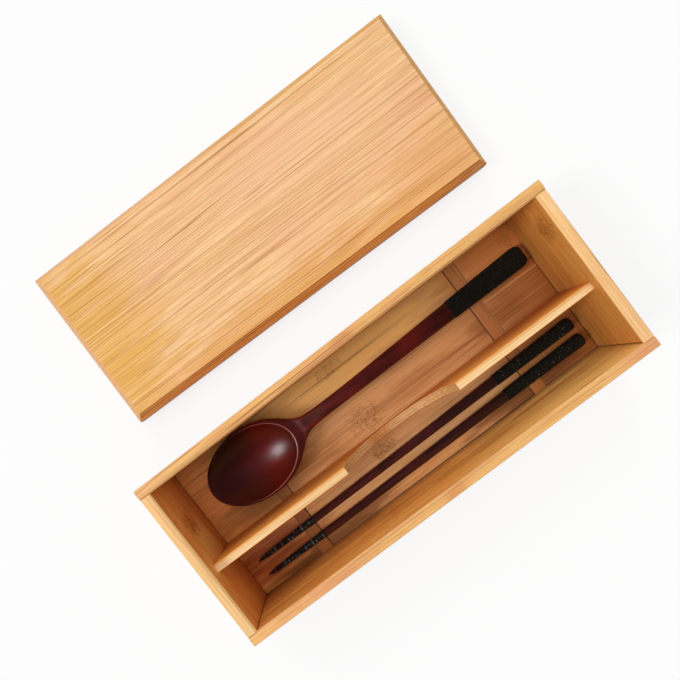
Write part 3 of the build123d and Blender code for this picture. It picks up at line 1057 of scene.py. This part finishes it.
def grain_tree():
    """Small flattened grains scattered over the part of a piece beyond a distance along X."""
    tree, given = new_geometry_tree("scattered_grains", {
        "Start": "Float", "Density": "Float", "Smallest": "Float", "Largest": "Float", "Seed": "Int",
        "Material": "Material",
    })
    along = node(tree, "ShaderNodeSeparateXYZ", {0: node(tree, "GeometryNodeInputPosition")})
    inputs = {0: along, 1: given["Start"]}
    chosen = node(tree, "FunctionNodeCompare", inputs, data_type="FLOAT", operation="GREATER_THAN")
    inputs = {"Mesh": given["Geometry"], "Selection": chosen, "Density": given["Density"], "Seed": given["Seed"]}
    points = node(tree, "GeometryNodeDistributePointsOnFaces", inputs, "Points")
    grain = node(tree, "GeometryNodeMeshIcoSphere", {"Radius": 1.0, "Subdivisions": 2}, "Mesh")
    sizes = {2: given["Smallest"], 3: given["Largest"], "Seed": given["Seed"]}
    breadth = node(tree, "FunctionNodeRandomValue", sizes, 1, data_type="FLOAT")
    size = vector(breadth, breadth, times(breadth, GRAIN_FLATNESS))
    finish_tree(tree, points, grain, points.node.outputs["Rotation"], size, given["Material"])
    return tree


def ring_tree():
    """Rounded rings at an even pitch along a line, each a little larger than the last."""
    tree, given = new_geometry_tree("tip_rings", {
        "Start": "Vector", "Step": "Vector", "Count": "Int", "First Radius": "Float", "Growth": "Float",
        "Section": "Float", "Turn": "Vector", "Material": "Material",
    })
    inputs = {"Count": given["Count"], "Start Location": given["Start"], "Offset": given["Step"]}
    line = node(tree, "GeometryNodeMeshLine", inputs, mode="OFFSET")
    circle = "GeometryNodeCurvePrimitiveCircle"
    loop = node(tree, circle, {"Resolution": 24, "Radius": 1.0}, "Curve", mode="RADIUS")
    section = node(tree, circle, {"Resolution": 10, "Radius": given["Section"]}, "Curve", mode="RADIUS")
    ring = node(tree, "GeometryNodeCurveToMesh", {"Curve": loop, "Profile Curve": section})
    number = node(tree, "GeometryNodeInputIndex")
    radius = plus(given["First Radius"], times(number, given["Growth"]))
    finish_tree(tree, line, ring, given["Turn"], vector(radius, radius, radius), given["Material"])
    return tree


def grown(name, tree, mesh, values, body):
    """Runs a geometry tree over a mesh and links what it makes as a piece of its own."""
    def give_values(growth):
        growth.node_group = tree
        for item in tree.interface.items_tree:
            if item.in_out == "INPUT" and item.name in values:
                growth[item.identifier] = values[item.name]
    made = carried(mesh, "NODES", give_values)
    made.name = name
    add_piece(name, made, body, "red_lacquer")


grains = grain_tree()
rings = ring_tree()
GRAIN_DENSITY = 0.9e6
GRAIN_MARGIN = 0.4 * MM


def grip_grains(name, skin, start, largest, seed, material, body):
    """The raised grains in a grip's black coat, from start along X."""
    grown(name, grains, skin, {
        "Start": start + GRAIN_MARGIN,
        "Density": GRAIN_DENSITY,
        "Smallest": 0.1 * MM,
        "Largest": largest,
        "Seed": seed,
        "Material": material,
    }, body)


grip_grains("spoon_grip_grains", spoon_skin, grip_x, 0.3 * MM, 5, spoon_speckle, "spoon")


# The rings round each tip, and the two sticks

ring_pitch = 2.5
ring_count = 15
first_ring = 2 * ring_pitch
ring_inset = 0.9
ring_section = 0.22


def tip_rings(stick, tip, run):
    """The fine rings round a stick's tip, centred on it."""
    growth = (stick_width(point_length) - stick_width(0)) / point_length * ring_pitch / 2
    first = tip + run * first_ring + Vector((0, 0, stick_width(first_ring) / 2))
    step = run * ring_pitch + Vector((0, 0, growth))
    grown(stick + "_tip_rings", rings, bpy.data.meshes.new("empty"), {
        "Start": first * MM,
        "Step": step * MM,
        "Count": ring_count,
        "First Radius": stick_width(first_ring) / 2 * MM * ring_inset,
        "Growth": growth * ring_inset * MM,
        "Section": ring_section,
        "Turn": (0.0, pi / 2, run.y),
        "Material": ring_black_glints,
    }, stick)


def add_chopstick(stick, splay, seed):
    """One stick, its tip splayed towards -Y by so many millimetres, with its grains and rings."""
    stick_low, stick_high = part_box(stick)
    handle = Vector((stick_high.x / MM, stick_high.y / MM - stick_widths[-1][1] / 2, stick_low.z / MM))
    tip = Vector((handle.x - stick_length, handle.y - splay, handle.z))
    run = (handle - tip).normalized()
    skin = stick_mesh(stick + "_skin", tip, run)
    limits = ((tip.x + point_length) * MM, stick_grip_x + 0.05 * MM)
    finish_along(skin, (point_black, stick_lacquer, grip_coat), limits)
    add_piece(stick + "_lacquered", skin, stick, "red_lacquer", stick)
    grip_grains(stick + "_grip_grains", skin, stick_grip_x, 0.28 * MM, seed, stick_speckle, stick)
    tip_rings(stick, tip, run)


add_chopstick("back_chopstick", 2.7, 11)
add_chopstick("front_chopstick", 2.0, 12)


# Stage, light and camera

FLOOR_REACH = 4.0
FLOOR_Z = -0.2 * MM
FLOOR_GLOW = 0.78
WHITE = (1.0, 1.0, 1.0, 1.0)
FLOOR_GREY = (0.86, 0.86, 0.86, 1.0)
FILL_GREY = (0.53, 0.53, 0.53, 1.0)
CEILING_GREY = (0.03, 0.03, 0.03, 1.0)

# Lamps: name, strength, how large each looks in degrees, its direction, and whether gloss reflects it
LAMPS = (
    ("left_lamp", 1.2, 22, (-0.73, 0.12, 0.67), True),
    ("top_lamp", 0.45, 30, (0.0, 0.1, 0.995), False),
    ("lid_side_lamp", 0.45, 30, (0.1, 0.7, 0.7), False),
    ("low_lamp", 0.5, 30, (0.1, 0.94, 0.34), False),
)

# The photo's camera, fitted to the box's corners: place in millimetres, turn in degrees, lens and shift
CAMERA_PLACE = (-10.36, 38.58, 318.09)
CAMERA_TURN = (-3.1608, 1.2271, -37.5341)
CAMERA_LENS = 28.849
CAMERA_SHIFT = (0.0345, 0.0892)


def gloss_rays(path):
    """1 for the rays of reflections and of what is seen through glass."""
    return maths("MAXIMUM", path.outputs["Is Glossy Ray"], path.outputs["Is Transmission Ray"])


def stage_floor():
    """A wide white floor that stays near white to the camera and keeps a soft shadow."""
    mesh = bpy.data.meshes.new("studio_floor")
    corners = [(x * FLOOR_REACH, y * FLOOR_REACH, FLOOR_Z) for x, y in ((-1, -1), (1, -1), (1, 1), (-1, 1))]
    mesh.from_pydata(corners, [], [(0, 1, 2, 3)])
    floor = new_object("studio_floor", mesh)
    material, shader = new_material("studio_white", 0.0)
    shader.inputs["Base Color"].default_value = FLOOR_GREY
    shader.inputs["Roughness"].default_value = 0.9
    path = material.node_tree.nodes.new("ShaderNodeLightPath")
    seen = maths("MAXIMUM", path.outputs["Is Camera Ray"], gloss_rays(path))
    glow = node(shader, "ShaderNodeEmission", {"Color": WHITE, "Strength": 1.0})
    share = times(seen, FLOOR_GLOW)
    cover = node(share, "ShaderNodeMixShader", {0: share, 1: shader.outputs[0], 2: glow})
    wire(cover, material.node_tree.nodes["Material Output"].inputs["Surface"])
    mesh.materials.append(material)


def studio_world():
    """Soft light from all round, white to the camera. Gloss reflects a dark ceiling over a white horizon."""
    world = bpy.data.worlds.new("studio")
    bpy.context.scene.world = world
    world.use_nodes = True
    tree = world.node_tree
    path = tree.nodes.new("ShaderNodeLightPath")
    direction = node(tree, "ShaderNodeTexCoord", out="Generated")
    up = node(tree, "ShaderNodeSeparateXYZ", {0: direction}, 2)
    mirrored = mixed(ramp(up, 0.0, 0.35), WHITE, CEILING_GREY)
    plain = mixed(path.outputs["Is Camera Ray"], FILL_GREY, WHITE)
    light = mixed(gloss_rays(path), plain, mirrored)
    wire(light, tree.nodes["Background"].inputs["Color"])


def soft_lamp(name, energy, width, towards, in_gloss):
    """A large soft lamp, far off in the direction towards."""
    data = bpy.data.lights.new(name, "SUN")
    data.energy = energy
    data.angle = radians(width)
    lamp = new_object(name, data)
    lamp.rotation_euler = Vector(towards).to_track_quat("Z", "Y").to_euler()
    lamp.visible_glossy = in_gloss


def photo_camera():
    """The photo's own view: almost straight down, with the box lying across the picture's diagonal."""
    data = bpy.data.cameras.new("photo")
    data.sensor_width = 36.0
    data.lens = CAMERA_LENS
    data.shift_x, data.shift_y = CAMERA_SHIFT
    data.clip_start = 0.01
    camera = new_object("photo", data)
    camera.location = [value * MM for value in CAMERA_PLACE]
    camera.rotation_euler = [radians(value) for value in CAMERA_TURN]
    bpy.context.scene.camera = camera


stage_floor()
studio_world()
for lamp_values in LAMPS:
    soft_lamp(*lamp_values)
photo_camera()
bpy.context.scene.view_settings.view_transform = "Standard"
